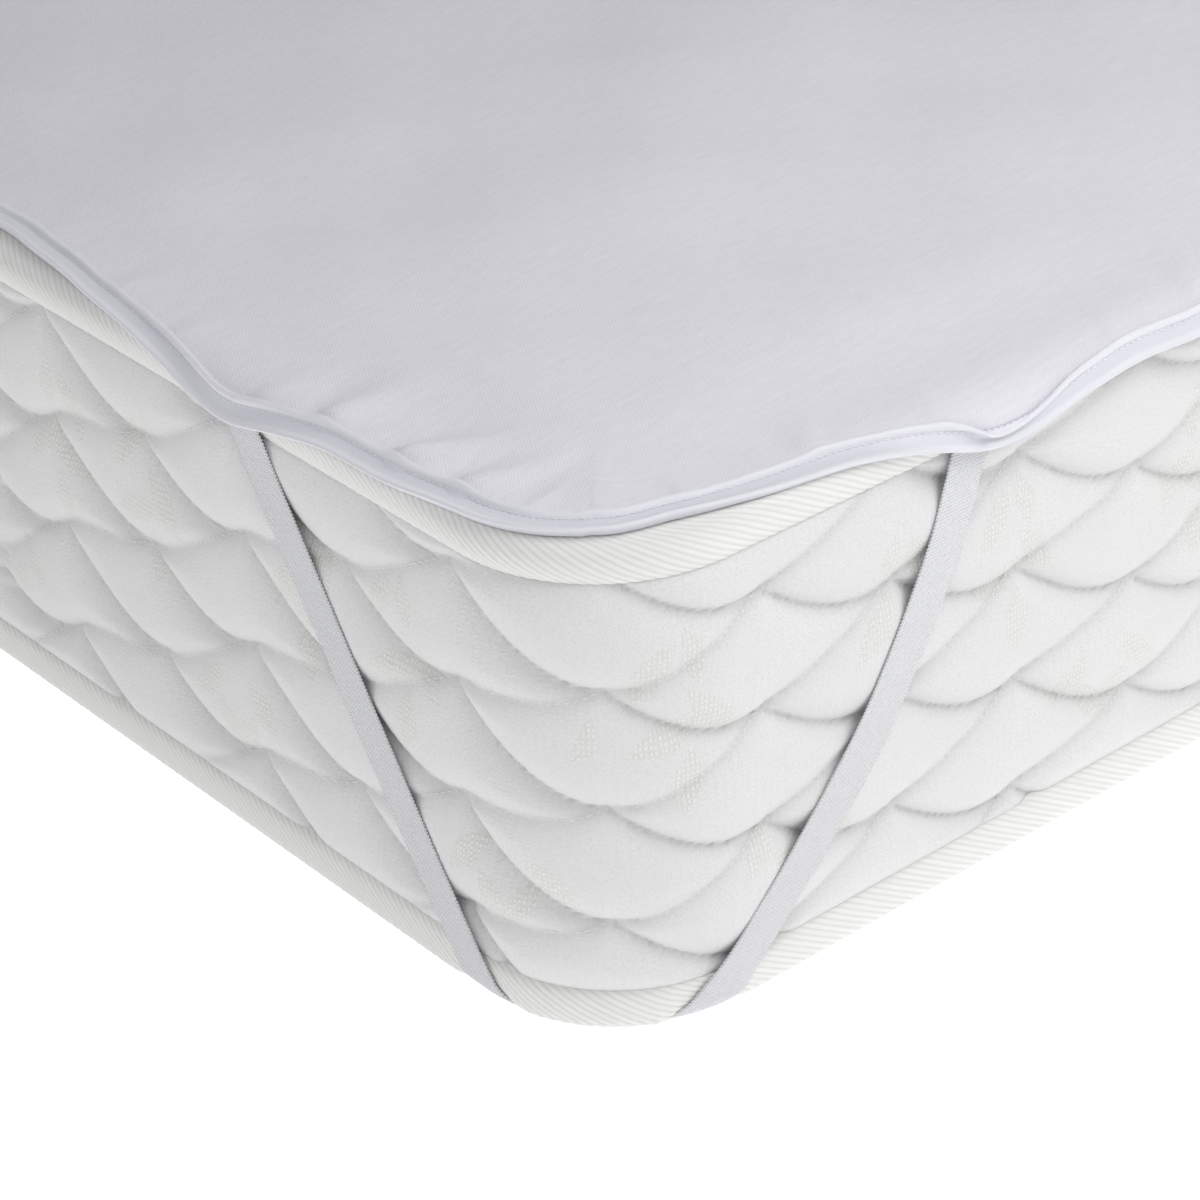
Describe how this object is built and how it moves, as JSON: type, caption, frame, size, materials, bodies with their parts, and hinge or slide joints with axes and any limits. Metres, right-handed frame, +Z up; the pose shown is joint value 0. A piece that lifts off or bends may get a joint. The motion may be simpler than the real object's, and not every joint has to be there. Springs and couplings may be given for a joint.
{
  "type": "waterproof mattress protector on a single mattress",
  "caption": "Thin knitted waterproof mattress protector with a bound edge and elastic corner straps, lying on the plain quilted single mattress that it fits.",
  "frame": {"origin": "on the floor, under the middle of the mattress", "axes": "+Z up, +X along the mattress's length, +Y across it"},
  "size_m": [2.0165, 0.9184, 0.2059],
  "materials": {
    "border_cloth": "off-white stretch knit, quilted",
    "tape_cloth": "cream woven tape with slanted ridges",
    "knit": "fine ribbed knit, matt",
    "satin_tape": "smooth folded binding tape",
    "elastic": "ribbed flat elastic"
  },
  "bodies": {
    "root": {"mattress": "border_cloth", "mattress_tape_top": "tape_cloth", "mattress_tape_bottom": "tape_cloth", "protector_sheet": "knit", "edge_binding": "satin_tape", "corner_strap_1": "elastic", "corner_strap_2": "elastic", "corner_strap_3": "elastic", "corner_strap_4": "elastic"}
  },
  "joints": []
}
